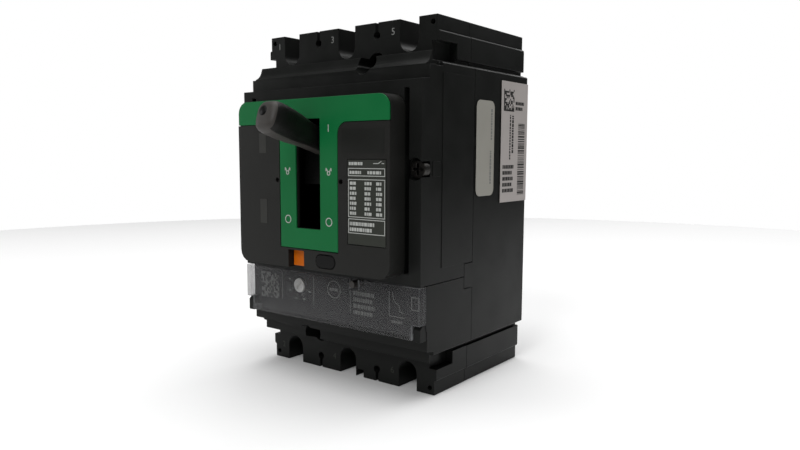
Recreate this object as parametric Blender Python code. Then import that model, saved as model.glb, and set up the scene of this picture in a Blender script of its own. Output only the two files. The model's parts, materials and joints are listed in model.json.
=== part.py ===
"""Three-pole moulded-case circuit breaker, 105 mm wide and 161 mm tall, in metres.

X runs across the poles, Y runs from the operator into the panel and Z is up.
The origin is the middle of the flat back, so the whole breaker lies at negative Y.
Every size below is in millimetres and is scaled by MM where a mesh is made.
"""
import math

import bmesh
import bpy
from mathutils import Matrix, Vector

MM = 0.001

# Driving dimensions of the housing
HALF_W = 52.5
BLOCK_HALF_W = 50.3
BODY_Z = 61.0
END_Z = 80.5
SEAM_Y = -50.0
BLOCK_Y = -74.8
COVER_Y = -90.5
NOSE_Y = -101.0
WALL = 3.0
GAP = 0.3
POLE_PITCH = 35.0
POLES = (-POLE_PITCH, 0.0, POLE_PITCH)
SPLIT_Z = -30.5

# Accessory cover (the nose) and the openings in its face
NOSE_HALF_W = 44.8
NOSE_TOP = 47.5
NOSE_BOTTOM = -27.0
SLOT_HALF_W = 7.2
SLOT_TOP = 38.5
SLOT_BOTTOM = -9.0

# Toggle: it turns about X on a pivot inside the case
PIVOT_Y = -50.0
PIVOT_Z = 14.75
TOGGLE_REST = math.radians(-18.1)
TOGGLE_REACH = 79.6

# Contact rotor, crank pin and toggle linkage, as (y, z)
ROTOR = (-22.0, 4.0)
ROTOR_R = 12.0
CONTACT_TILT = math.radians(10.0)
CRANK = (-18.0, 13.0)
KNEE = (-42.0, 23.5)
CRADLE_EYE = (-66.0, 34.0)
CRADLE_PIVOT = (-44.0, 38.0)

# Cover screws, as (x, z) on the right
COVER_SCREW = (49.2, 17.4)

# Trip unit
TRIP_FACE_Y = -86.0
TRIP_BAR = (-60.0, -36.0)
COVER_HINGE = (-87.6, -51.8)
DIAL = (-20.7, -38.6)
BUTTON = (-7.7, -22.9)

CHARCOAL = (0.045, 0.047, 0.052)
GREEN = (0.012, 0.16, 0.07)
GREY = (0.23, 0.22, 0.21)
STEEL = (0.55, 0.55, 0.56)
COPPER = (0.72, 0.36, 0.2)
TIN = (0.7, 0.7, 0.68)
BRASS = (0.72, 0.55, 0.25)
FIBRE = (0.42, 0.36, 0.28)
WHITE = (0.8, 0.8, 0.79)
ORANGE = (0.85, 0.33, 0.03)
SMOKE = (0.4, 0.41, 0.42)
RED_FIBRE = (0.3, 0.06, 0.04)


def clear_scene():
    """Remove whatever the file opened with."""
    for old in list(bpy.data.objects):
        bpy.data.objects.remove(old, do_unlink=True)


def make_collection(name):
    group = bpy.data.collections.new(name)
    bpy.context.scene.collection.children.link(group)
    return group


clear_scene()
PARTS = make_collection("moulded_case_circuit_breaker")
CUTTERS = make_collection("cutters")


def material(name, colour, rough, metal=0.0, alpha=1.0):
    """One Principled material."""
    mat = bpy.data.materials.new(name)
    mat.use_nodes = True
    shader = mat.node_tree.nodes["Principled BSDF"]
    shader.inputs["Base Color"].default_value = (*colour, 1.0)
    shader.inputs["Roughness"].default_value = rough
    shader.inputs["Metallic"].default_value = metal
    shader.inputs["Alpha"].default_value = alpha
    return mat


def adopt(obj, name, group):
    """Name an object and keep it in one collection only."""
    obj.name = name
    obj.data.name = name
    for owner in list(obj.users_collection):
        owner.objects.unlink(obj)
    group.objects.link(obj)
    return obj


def box(name, x, y, z):
    """A box between pairs of millimetre limits."""
    centre = [MM * (a + b) / 2 for a, b in (x, y, z)]
    size = [MM * abs(b - a) for a, b in (x, y, z)]
    bpy.ops.mesh.primitive_cube_add(size=1.0, location=centre)
    obj = bpy.context.object
    obj.scale = size
    bpy.ops.object.transform_apply(location=False, rotation=False, scale=True)
    return adopt(obj, name, CUTTERS)


def rod(name, radius, start, end, sides=16):
    """A round bar between two points."""
    a = Vector(start) * MM
    b = Vector(end) * MM
    along = b - a
    bpy.ops.mesh.primitive_cylinder_add(vertices=sides, radius=radius * MM,
                                        depth=along.length, location=(a + b) / 2)
    obj = bpy.context.object
    obj.rotation_euler = along.to_track_quat("Z", "Y").to_euler()
    bpy.ops.object.transform_apply(location=False, rotation=True, scale=False)
    return adopt(obj, name, CUTTERS)


def arc(centre, radius, start, end, count):
    """Points round part of a circle; the angles are in degrees."""
    points = []
    for i in range(count + 1):
        turn = math.radians(start + (end - start) * i / count)
        points.append((centre[0] + radius * math.cos(turn), centre[1] + radius * math.sin(turn)))
    return points


def rounded(x0, x1, z0, z1, radius, count=4):
    """Outline of a rectangle with round corners."""
    outline = arc((x1 - radius, z1 - radius), radius, 0, 90, count)
    outline += arc((x0 + radius, z1 - radius), radius, 90, 180, count)
    outline += arc((x0 + radius, z0 + radius), radius, 180, 270, count)
    outline += arc((x1 - radius, z0 + radius), radius, 270, 360, count)
    return outline


def slab(name, outline, axis, low, high):
    """Extrude a flat outline between two limits along X (outline y, z) or Y (outline x, z)."""
    curve = bpy.data.curves.new(name, "CURVE")
    curve.dimensions = "2D"
    curve.fill_mode = "BOTH"
    curve.extrude = abs(high - low) / 2 * MM
    spline = curve.splines.new("POLY")
    spline.points.add(len(outline) - 1)
    for point, (u, v) in zip(spline.points, outline):
        point.co = (u * MM, v * MM, 0.0, 1.0)
    spline.use_cyclic_u = True
    guide = bpy.data.objects.new(name + "_outline", curve)
    middle = (low + high) / 2 * MM
    if axis == "X":
        turn = Matrix(((0, 0, 1), (1, 0, 0), (0, 1, 0)))
        guide.matrix_world = Matrix.Translation((middle, 0, 0)) @ turn.to_4x4()
    else:
        turn = Matrix(((1, 0, 0), (0, 0, -1), (0, 1, 0)))
        guide.matrix_world = Matrix.Translation((0, middle, 0)) @ turn.to_4x4()
    CUTTERS.objects.link(guide)
    bpy.context.view_layer.update()
    evaluated = guide.evaluated_get(bpy.context.evaluated_depsgraph_get())
    mesh = bpy.data.meshes.new_from_object(evaluated)
    obj = bpy.data.objects.new(name, mesh)
    obj.matrix_world = guide.matrix_world.copy()
    bpy.data.objects.remove(guide, do_unlink=True)
    weld(mesh)
    CUTTERS.objects.link(obj)
    return obj


def weld(mesh):
    """Weld the loose caps of a converted curve and face every side outwards."""
    shape = bmesh.new()
    shape.from_mesh(mesh)
    bmesh.ops.remove_doubles(shape, verts=shape.verts, dist=1e-6)
    bmesh.ops.dissolve_limit(shape, angle_limit=math.radians(0.5), verts=shape.verts,
                             edges=shape.edges)
    bmesh.ops.recalc_face_normals(shape, faces=shape.faces)
    shape.to_mesh(mesh)
    shape.free()


def ribbon(path, thickness):
    """Outline of a bent strip that follows a path of corners."""
    left, right = [], []
    for i, point in enumerate(path):
        before = Vector(path[max(i - 1, 0)])
        after = Vector(path[min(i + 1, len(path) - 1)])
        here = Vector(point)
        into = (here - before).normalized() if i > 0 else (after - here).normalized()
        out = (after - here).normalized() if i < len(path) - 1 else into
        across = Vector((-into.y, into.x)) + Vector((-out.y, out.x))
        across.normalize()
        reach = thickness / 2 / across.dot(Vector((-into.y, into.x)))
        left.append(tuple(here + across * reach))
        right.append(tuple(here - across * reach))
    return left + right[::-1]


def boolean(target, tool, operation):
    step = target.modifiers.new(tool.name, "BOOLEAN")
    step.operation = operation
    step.solver = "EXACT"
    step.object = tool
    tool.hide_render = True
    tool.display_type = "WIRE"


def cut(target, *tools):
    for tool in tools:
        boolean(target, tool, "DIFFERENCE")


def join(target, *tools):
    for tool in tools:
        boolean(target, tool, "UNION")


def make(name, obj, mat, origin=(0.0, 0.0, 0.0)):
    """Turn a worked shape into a finished sub-part with its origin where it is held or turns."""
    bpy.context.view_layer.update()
    evaluated = obj.evaluated_get(bpy.context.evaluated_depsgraph_get())
    mesh = bpy.data.meshes.new_from_object(evaluated)
    mesh.transform(obj.matrix_world)
    place = Vector(origin) * MM
    mesh.transform(Matrix.Translation(-place))
    tidy(mesh)
    part = bpy.data.objects.new(name, mesh)
    part.location = place
    mesh.name = name
    mesh.materials.clear()
    mesh.materials.append(mat)
    mesh.shade_smooth()
    mesh.set_sharp_from_angle(angle=math.radians(30))
    PARTS.objects.link(part)
    obj.hide_render = True
    obj.display_type = "WIRE"
    obj.name = name + "_stock"
    return part


def tidy(mesh):
    """Weld the seams that a cut leaves and split every face into triangles."""
    shape = bmesh.new()
    shape.from_mesh(mesh)
    bmesh.ops.remove_doubles(shape, verts=shape.verts, dist=2e-6)
    loose = [edge for edge in shape.edges if not edge.link_faces]
    bmesh.ops.delete(shape, geom=loose, context="EDGES")
    bmesh.ops.triangulate(shape, faces=shape.faces)
    shape.to_mesh(mesh)
    shape.free()


MOULDING = material("charcoal_moulding", CHARCOAL, 0.38)
BLACK = material("black_moulding", (0.02, 0.02, 0.022), 0.45)
GREEN_PLASTIC = material("green_plastic", GREEN, 0.4)
WARM_GREY = material("warm_grey_plastic", GREY, 0.5)
LABEL_GREY = material("grey_label", (0.5, 0.52, 0.5), 0.5)
LABEL_WHITE = material("white_label", WHITE, 0.5)
STEEL_METAL = material("zinc_plated_steel", STEEL, 0.35, 1.0)
COPPER_METAL = material("copper", COPPER, 0.3, 1.0)
TINNED = material("tinned_copper", TIN, 0.3, 1.0)
BRASS_METAL = material("bimetal_strip", BRASS, 0.35, 1.0)
FIBRE_BOARD = material("arc_chute_fibre", FIBRE, 0.7)
RED_MOULDING = material("red_moulding", RED_FIBRE, 0.5)
ORANGE_PLASTIC = material("orange_plastic", ORANGE, 0.4)
CLEAR = material("smoky_polycarbonate", SMOKE, 0.1, 0.0, 0.45)


# ---------------------------------------------------------------- housing

def end_notches(target, side):
    """U-shaped channels, barrier keyholes and outer keyholes of one terminal block."""
    floor = 66.5 if side > 0 else -68.0
    half = 4.9
    for i, pole in enumerate(POLES):
        outline = arc((pole, floor + side * half), half, 0, -side * 180, 10)
        outline += [(pole - half, side * (END_Z + 2)), (pole + half, side * (END_Z + 2))]
        cut(target, slab(f"channel_{side}_{i}", outline, "Y", -80, 1))
    for x in (-POLE_PITCH / 2, POLE_PITCH / 2):
        hole = rod(f"barrier_hole_{side}_{x}", 1.8, (x, -80, side * 75), (x, 1, side * 75), 12)
        slot = box(f"barrier_slot_{side}_{x}", (x - 0.8, x + 0.8), (-80, 1), (side * 75, side * 82))
        cut(target, hole, slot)
    for x in (-1, 1):
        cut(target, rod(f"edge_hole_{side}_{x}", 1.2, (x * 46.9, -80, side * 77.6),
                        (x * 46.9, 1, side * 77.6), 10))


def side_rails(target, side):
    """The set-back end band and the groove along both flanks of one terminal block."""
    for x in (-1, 1):
        step = box(f"flank_step_{side}_{x}", (x * 49.2, x * 51), (-80, 1), (side * 74.2, side * 82))
        groove = box(f"flank_groove_{side}_{x}", (x * 48.9, x * 51), (-80, 1),
                     (side * 61.6, side * 63.4))
        cut(target, step, groove)


def rear_case():
    """Deep rear shell: three pole chambers, six terminal pockets and the barrier walls."""
    shell = box("rear_body", (-HALF_W, HALF_W), (SEAM_Y + GAP / 2, 0), (-BODY_Z, BODY_Z))
    ends = box("rear_ends", (-BLOCK_HALF_W, BLOCK_HALF_W), (SEAM_Y + GAP / 2, 0), (-END_Z, END_Z))
    join(shell, ends)
    for x in (-1, 1):
        tab = box(f"rear_tab_{x}", (x * 50.0, x * HALF_W), (-56.8, -45), (-35.8, -24.7))
        join(shell, tab)
    for i, pole in enumerate(POLES):
        low = max(pole - 16, -HALF_W + WALL)
        high = min(pole + 16, HALF_W - WALL)
        chamber = box(f"chamber_{i}", (low, high), (-60, -4), (-58, 58))
        cut(shell, chamber)
        for side in (-1, 1):
            floor = 66.5 if side > 0 else -68.0
            pocket = box(f"pocket_{i}_{side}", (pole - 12.5, pole + 12.5), (-60, -12),
                         (floor - side, side * 82))
            window = box(f"strip_window_{i}_{side}", (pole - 8.4, pole + 8.4), (-24.0, -20.0),
                         (side * 57, side * 69))
            cut(shell, pocket, window)
    for x in (-1, 1):
        gate = box(f"shaft_gate_{x}", (x * 14, x * 21), (-60, -17), (ROTOR[1] - 4.8, ROTOR[1] + 4.8))
        cut(shell, gate)
    for side in (-1, 1):
        end_notches(shell, side)
        side_rails(shell, side)
        x = side * POLE_PITCH / 2
        fixing = rod(f"rear_fixing_{side}", 3.0, (x, -60, side * 62.5), (x, 5, side * 62.5), 16)
        cut(shell, fixing)
    return make("rear_case", shell, MOULDING)


def fixing_bore(target, side):
    """Counterbored hole for one panel fixing screw, with its flat seat 6 mm above the seam."""
    x = side * POLE_PITCH / 2
    z = side * 62.5
    cut(target,
        rod(f"counterbore_{side}", 5.0, (x, -95, z), (x, SEAM_Y - 6, z), 20),
        rod(f"screw_bore_{side}", 3.0, (x, -95, z), (x, 5, z), 16))


def main_cover():
    """Front cover: body front, two top steps and the line-side terminal block."""
    body_outline = [(SEAM_Y - GAP / 2, SPLIT_Z + GAP / 2), (COVER_Y, SPLIT_Z + GAP / 2),
                    (COVER_Y, 53.2), (-84.8, 53.8), (-84.8, 59.2), (-75.5, 59.2), (-75.5, 61.0),
                    (SEAM_Y - GAP / 2, 61.0)]
    shell = slab("cover_body", body_outline, "X", -HALF_W, HALF_W)
    top_outline = [(SEAM_Y - GAP / 2, 57), (-84.8, 57), (-84.8, 59.5)]
    top_outline += arc((-87.0, 65.2), 6.1, -69, -10, 4)
    top_outline += [(-80.6, 65.2), (BLOCK_Y, 65.2), (BLOCK_Y, END_Z), (SEAM_Y - GAP / 2, END_Z)]
    block = slab("line_block", top_outline, "X", -BLOCK_HALF_W, BLOCK_HALF_W)
    join(shell, block)
    cavity = box("cover_cavity", (-HALF_W + WALL, HALF_W - WALL), (-85, -45), (-40, 50))
    opening = box("mechanism_opening", (-20, 20), (-95, -80), (-16.5, 45))
    cut(shell, cavity, opening)
    for x in (-1, 1):
        channel = box(f"nose_channel_{x}", (x * 44.0, x * 46.6), (-95, -86.0), (-25.5, 50))
        place = x * COVER_SCREW[0]
        recess = rod(f"screw_recess_{x}", 4.6, (place, -95, COVER_SCREW[1]),
                     (place, -84.1, COVER_SCREW[1]), 24)
        shank = rod(f"screw_shank_hole_{x}", 2.1, (place, -95, COVER_SCREW[1]),
                    (place, -60, COVER_SCREW[1]), 12)
        back = box(f"screw_boss_{x}", (x * 42.2, x * 52), (-86.5, -66), (11.5, 23.5))
        pad = box(f"screw_flank_pad_{x}", (x * 52, x * 52.75), (-82.6, -77.0), (14.3, 20.5))
        panel = box(f"flank_panel_{x}", (x * 52, x * 52.75), (-75.4, -50.6), (-24.2, 56.8))
        join(shell, back, pad, panel)
        cut(shell, channel, recess, shank)
        tab = box(f"cover_tab_notch_{x}", (x * 49.4, x * 55), (-57.1, -45), (-36.1, -24.4))
        pocket = box(f"line_side_pocket_{x}", (x * 46.5, x * 55), (-80, -61.3), (61.8, 70))
        cut(shell, tab, pocket)
    end_notches(shell, 1)
    side_rails(shell, 1)
    fixing_bore(shell, 1)
    stem = rod("stem_hole", 2.1, (BUTTON[0], -95, BUTTON[1]), (BUTTON[0], -80, BUTTON[1]), 16)
    seat = rod("spring_seat", 3.2, (BUTTON[0], -95, BUTTON[1]), (BUTTON[0], -88.5, BUTTON[1]), 16)
    cut(shell, stem, seat)
    return make("main_cover", shell, MOULDING)


def accessory_cover():
    """Raised nose that hides the auxiliaries, open for the toggle and the trip button."""
    outline = rounded(-NOSE_HALF_W, NOSE_HALF_W, NOSE_BOTTOM, NOSE_TOP, 5.5)
    shell = slab("nose_body", outline, "Y", NOSE_Y, COVER_Y - GAP)
    hollow = slab("nose_hollow", rounded(-42.6, 42.6, -24.8, 45.3, 3.5, 3), "Y", -98.6, -80)
    slot = box("toggle_slot", (-SLOT_HALF_W, SLOT_HALF_W), (-110, -80), (SLOT_BOTTOM, SLOT_TOP))
    window = box("button_window", (-12.5, -2.9), (-110, -80), (-30, -19))
    overlay_seat = overlay_blank("overlay_seat", -102.0, -99.9, GAP, 3.0)
    plate_seat = box("plate_seat", (22.6, 43.1), (-102, -100.3), (-14.0, 21.5))
    oval_seat = slab("oval_seat", rounded(4.2, 15.8, -25.7, -19.5, 3.0, 4), "Y", -102, -99.4)
    cut(shell, hollow)
    frame = box("button_frame", (-14.3, -1.1), (-100, COVER_Y - GAP), (-26.9, -17.2))
    join(shell, frame)
    cut(shell, slot, window, overlay_seat, plate_seat, oval_seat)
    for x in (-19, 19):
        cut(shell, rod(f"pin_hole_{x}", 1.1, (x, -110, 12), (x, -80, 12), 12))
    return make("accessory_cover", shell, MOULDING)


def overlay_blank(name, near, far, grow=0.0, overhang=-0.2):
    """T-shaped blank: full-width band above, frame with filleted shoulders below."""
    side = NOSE_HALF_W + overhang
    top = NOSE_TOP + overhang
    band = 36.8 - grow
    leg = 17.2 + grow
    fillet = 5.0 - grow
    strip = arc((side - 5.3, top - 5.3), 5.3, 0, 90, 5)
    strip += arc((-side + 5.3, top - 5.3), 5.3, 90, 180, 5)
    strip += [(-side, band), (side, band)]
    frame = [(-leg - fillet, band + 4), (-leg - fillet, band - 0.01)]
    frame += arc((-leg - fillet, band - fillet), fillet, 80, 0, 4)
    frame += [(-leg, -18.0 - grow), (leg, -18.0 - grow)]
    frame += arc((leg + fillet, band - fillet), fillet, 180, 100, 4)
    frame += [(leg + fillet, band - 0.01), (leg + fillet, band + 4)]
    blank = slab(name, strip, "Y", near, far)
    join(blank, slab(name + "_frame", frame, "Y", near, far))
    return blank


def green_overlay():
    plate = overlay_blank("overlay_body", -101.0, -100.2)
    cut(plate, box("overlay_slot", (-SLOT_HALF_W, SLOT_HALF_W), (-110, -90), (SLOT_BOTTOM, SLOT_TOP)))
    return make("green_overlay", plate, GREEN_PLASTIC)


def small_fixed_pieces():
    """Labels, plates, cover screws and the sealing stud."""
    make("rating_plate", box("plate_body", (22.9, 42.8), (-101.0, -100.6), (-13.7, 21.2)), WARM_GREY)
    oval = slab("oval_body", rounded(4.5, 15.5, -25.4, -19.8, 2.7, 4), "Y", -101.2, -99.7)
    make("oval_plug", oval, BLACK)
    grey = slab("grey_outline", rounded(-48.8, -33.2, 4.7, 47.4, 3.0), "X", 52.8, 53.2)
    make("side_label_grey", grey, LABEL_GREY)
    make("side_label_white", box("white_body", (52.8, 53.2), (-26.5, -0.4), (0.8, 57.4)), LABEL_WHITE)
    height = COVER_SCREW[1]
    for name, x in (("cover_screw_left", -COVER_SCREW[0]), ("cover_screw_right", COVER_SCREW[0])):
        head = rod(name + "_head", 3.75, (x, -88.4, height), (x, -84.4, height), 24)
        shank = rod(name + "_shank", 1.8, (x, -86, height), (x, -62, height), 12)
        join(head, shank)
        for turn in (0, 90):
            wide, tall = (2.3, 0.5) if turn else (0.5, 2.3)
            cross = box(f"{name}_cross_{turn}", (x - wide, x + wide), (-89, -86.4),
                        (height - tall, height + tall))
            cut(head, cross)
        make(name, head, STEEL_METAL)
    stud = rod("stud_body", 1.6, (17.3, -92.2, -32.9), (17.3, -82, -32.9), 16)
    wire_hole = rod("stud_wire_hole", 0.6, (10, -91.0, -32.9), (25, -91.0, -32.9), 8)
    cut(stud, wire_hole)
    make("seal_stud", stud, WARM_GREY)


def trip_unit_case():
    """Lower front block: trip unit face, hinge ears and the load-side terminal block."""
    face_outline = [(SEAM_Y - GAP / 2, SPLIT_Z - GAP / 2), (TRIP_FACE_Y, SPLIT_Z - GAP / 2),
                    (TRIP_FACE_Y, -49.4), (-85.3, -49.4), (-85.3, -58.5), (-80.5, -59.3),
                    (-80.5, -61.0), (SEAM_Y - GAP / 2, -61.0)]
    shell = slab("trip_body", face_outline, "X", -HALF_W, HALF_W)
    low_outline = [(SEAM_Y - GAP / 2, -59), (-80.5, -59), (-80.5, -64.6), (BLOCK_Y, -66.2),
                   (BLOCK_Y, -END_Z), (SEAM_Y - GAP / 2, -END_Z)]
    join(shell, slab("load_block", low_outline, "X", -BLOCK_HALF_W, BLOCK_HALF_W))
    for x in (-1, 1):
        ear_outline = [(-84, -46.9), (-88.4, -46.9), (-90, -48.4), (-90, -53.6), (-84, -53.6)]
        join(shell, slab(f"hinge_ear_{x}", ear_outline, "X", x * 48.8, x * 52.2))
    cavity = box("trip_cavity", (-HALF_W + WALL, HALF_W - WALL), (-83, -45), (-57.6, -20))
    cut(shell, cavity)
    for x in (-1, 1):
        tab = box(f"trip_tab_notch_{x}", (x * 49.4, x * 55), (-57.1, -45), (-36.1, -24.4))
        pin = rod(f"hinge_hole_{x}", 1.35, (x * 48, *COVER_HINGE), (x * 51.2, *COVER_HINGE), 14)
        bearing = rod(f"bar_bearing_{x}", 1.9, (x * 48, *TRIP_BAR), (x * 51, *TRIP_BAR), 12)
        pocket = box(f"load_side_pocket_{x}", (x * 46.5, x * 55), (-80, -62), (-69, -62.2))
        cut(shell, tab, pin, bearing, pocket)
    end_notches(shell, -1)
    side_rails(shell, -1)
    fixing_bore(shell, -1)
    cut(shell, rod("dial_hole", 3.7, (DIAL[0], -95, DIAL[1]), (DIAL[0], -80, DIAL[1]), 24),
        rod("stud_hole", 1.95, (17.3, -95, -32.9), (17.3, -80, -32.9), 16),
        box("barrier_bite", (5, 9.5), (-80, -60), (-82, -77)))
    return make("trip_unit_case", shell, MOULDING)


# ---------------------------------------------------------------- moving front pieces

def clear_trip_cover():
    """Transparent cover over the trip settings; it swings down on two moulded pins."""
    front, inside, rim = -91.0, -89.8, -86.3
    plate = box("window_plate", (-52.4, 52.4), (front, inside), (-46.6, -30.85))
    lower = box("window_lower", (-48.3, 48.3), (front, inside), (-53.0, -46))
    join(plate, lower)
    for x in (-1, 1):
        wrap = box(f"window_wrap_{x}", (x * 51.2, x * 52.4), (-90.5, rim), (-46.6, -30.85))
        lug = box(f"window_lug_{x}", (x * 46.8, x * 48.3), (-90.5, rim), (-53.0, -50.5))
        pin = rod(f"window_pin_{x}", 1.0, (x * 47.5, *COVER_HINGE), (x * 50.9, *COVER_HINGE), 14)
        join(plate, wrap, lug, pin)
    notch = box("window_notch", (14.9, 19.7), (-95, -80), (-35.3, -25))
    cut(plate, notch)
    return make("clear_trip_cover", plate, CLEAR, (0, *COVER_HINGE))


def current_dial():
    """Slotted selector in a round hole of the trip unit face."""
    body = rod("dial_body", 3.35, (DIAL[0], -86.4, DIAL[1]), (DIAL[0], -80.0, DIAL[1]), 24)
    slot = box("dial_slot", (-0.5, 0.5), (-90, -85.4), (-2.6, 2.6))
    slot.rotation_euler = (0, math.radians(40), 0)
    slot.location = (DIAL[0] * MM, slot.location.y, DIAL[1] * MM)
    cut(body, slot)
    return make("current_dial", body, LABEL_WHITE, (DIAL[0], -86.0, DIAL[1]))


def push_to_trip():
    """Sprung test button; its stem reaches back to the trip bar."""
    x, z = BUTTON
    head = box("button_head", (-12.1, -3.3), (-98.0, -93.2), (-26.4, -19.4))
    stem = rod("button_stem", 1.7, (x, -94, z), (x, -62.5, z), 14)
    join(head, stem)
    make("push_to_trip_button", head, ORANGE_PLASTIC, (x, -93.2, z))
    tube = rod("spring_outer", 2.8, (x, -92.9, z), (x, -88.8, z), 20)
    cut(tube, rod("spring_inner", 2.1, (x, -96, z), (x, -84, z), 20))
    make("button_spring", tube, STEEL_METAL, (x, -88.8, z))


def toggle_handle():
    """Operating handle: root, waist in the slot, wider grip and a curved dust shutter."""
    def reach(r):
        return PIVOT_Y - r
    end = 4.2
    grip = [(reach(34), PIVOT_Z - 5.4), (reach(34), PIVOT_Z + 5.4), (reach(52), PIVOT_Z + 5.7),
            (reach(62), PIVOT_Z + 6.8)]
    grip += arc((reach(TOGGLE_REACH - end), PIVOT_Z + 6.8 - end), end, 90, 180, 5)
    grip += arc((reach(TOGGLE_REACH - end), PIVOT_Z - 6.8 + end), end, 180, 270, 5)
    grip += [(reach(62), PIVOT_Z - 6.8), (reach(52), PIVOT_Z - 5.7)]
    body = slab("grip_body", grip, "X", -7, 7)
    section = rounded(-6.5, 6.5, PIVOT_Z - 6.9, PIVOT_Z + 6.9, 3.6, 4)
    boolean(body, slab("grip_section", section, "Y", reach(90), reach(20)), "INTERSECT")
    foot = box("grip_foot", (-11, 11), (reach(37), reach(33.2)), (PIVOT_Z - 7, PIVOT_Z + 7))
    shutter = arc((PIVOT_Y, PIVOT_Z), 43.6, 156, 204, 8)
    shutter += arc((PIVOT_Y, PIVOT_Z), 42.2, 204, 156, 8)
    shield = slab("grip_shield", shutter, "X", -9, 9)
    join(body, foot, shield)
    part = make("toggle_handle", body, WARM_GREY, (0, PIVOT_Y, PIVOT_Z))
    part.rotation_euler = (TOGGLE_REST, 0, 0)
    return part


def handle_yoke():
    """Steel stirrup under the handle, hung on two bosses in the side plates."""
    outer = box("yoke_outer", (-11, 11), (PIVOT_Y - 32.9, PIVOT_Y + 4), (PIVOT_Z - 4, PIVOT_Z + 4))
    inner = box("yoke_inner", (-9.6, 9.6), (PIVOT_Y - 30.9, PIVOT_Y + 10), (PIVOT_Z - 9, PIVOT_Z + 9))
    cut(outer, inner)
    for x in (-1, 1):
        join(outer, rod(f"yoke_boss_{x}", 2.0, (x * 10, PIVOT_Y, PIVOT_Z), (x * 14, PIVOT_Y, PIVOT_Z), 14))
    part = make("handle_yoke", outer, STEEL_METAL, (0, PIVOT_Y, PIVOT_Z))
    part.rotation_euler = (TOGGLE_REST, 0, 0)
    return part


# ---------------------------------------------------------------- mechanism

def mechanism_plates():
    """Two steel side plates that carry the pivots."""
    outline = [(-36, -12), (-70, -12), (-78, -2), (-78, 30), (-70, 43.5), (-38, 43.5), (-34, 38),
               (-34, 16), (-37, 10)]
    for name, x in (("mechanism_plate_left", -1), ("mechanism_plate_right", 1)):
        plate = slab(name + "_body", outline, "X", x * 12.4, x * 13.8)
        boss = rod(name + "_boss_hole", 2.4, (x * 11, PIVOT_Y, PIVOT_Z), (x * 15, PIVOT_Y, PIVOT_Z), 16)
        pin = rod(name + "_pin_hole", 1.9, (x * 11, *CRADLE_PIVOT), (x * 15, *CRADLE_PIVOT), 14)
        cut(plate, boss, pin)
        make(name, plate, STEEL_METAL)
    make("cradle_pin", rod("cradle_pin_body", 1.6, (-14.2, *CRADLE_PIVOT), (14.2, *CRADLE_PIVOT), 14),
         STEEL_METAL, (0, *CRADLE_PIVOT))


def lever(name, start, end, radius, x, hole_start, hole_end):
    """Flat bar with round ends and a hole in each."""
    a, b = Vector(start), Vector(end)
    heading = math.degrees(math.atan2(b.y - a.y, b.x - a.x))
    outline = arc(start, radius, heading + 90, heading + 270, 8)
    outline += arc(end, radius, heading - 90, heading + 90, 8)
    bar = slab(name, outline, "X", *x)
    for tag, spot, hole in (("a", start, hole_start), ("b", end, hole_end)):
        if hole:
            cut(bar, rod(f"{name}_{tag}", hole, (x[0] - 3, *spot), (x[1] + 3, *spot), 14))
    return bar


def linkage():
    """Cradle, upper link and lower link of the quick-make toggle."""
    nose = (-66.0, 6.0)
    cradle = lever("cradle_arm", CRADLE_PIVOT, CRADLE_EYE, 4.0, (-1.5, 1.5), 0, 0)
    join(cradle, lever("cradle_leg", CRADLE_EYE, nose, 3.4, (-1.5, 1.5), 0, 0))
    cut(cradle, rod("cradle_hole", 1.9, (-5, *CRADLE_PIVOT), (5, *CRADLE_PIVOT), 14),
        rod("cradle_eye", 1.9, (-5, *CRADLE_EYE), (5, *CRADLE_EYE), 14))
    make("latch_cradle", cradle, STEEL_METAL, (0, *CRADLE_PIVOT))
    upper = lever("upper_arm_left", CRADLE_EYE, KNEE, 3.4, (-7.6, -6.0), 0, 0)
    join(upper, lever("upper_arm_right", CRADLE_EYE, KNEE, 3.4, (6.0, 7.6), 0, 0),
         rod("upper_pin", 1.6, (-7.0, *CRADLE_EYE), (7.0, *CRADLE_EYE), 14),
         rod("knee_pin", 1.6, (-7.0, *KNEE), (7.0, *KNEE), 14))
    make("upper_link", upper, STEEL_METAL, (0, *CRADLE_EYE))
    bridge = tuple((Vector(CRANK) + Vector(KNEE)) / 2)
    lower = lever("lower_arm_left", CRANK, KNEE, 3.2, (-9.3, -8.4), 1.9, 0)
    right = lever("lower_arm_right", CRANK, KNEE, 3.2, (8.4, 9.3), 1.9, 0)
    join(lower, right, rod("lower_bridge", 1.5, (-8.9, *bridge), (8.9, *bridge), 12))
    make("lower_link", lower, STEEL_METAL, (0, *CRANK))


def main_springs():
    """Outer shapes of the two tension springs from the knee to the yoke."""
    tip = Vector((PIVOT_Y, PIVOT_Z)) + Vector((-29.0 * math.cos(TOGGLE_REST), -29.0 * math.sin(TOGGLE_REST)))
    start = Vector(KNEE) + Vector((-3.5, 0))
    for name, x in (("main_spring_left", -4.0), ("main_spring_right", 4.0)):
        coil = rod(name + "_outer", 1.7, (x, *start), (x, *tip), 12)
        make(name, coil, STEEL_METAL, (x, *tip))


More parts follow.
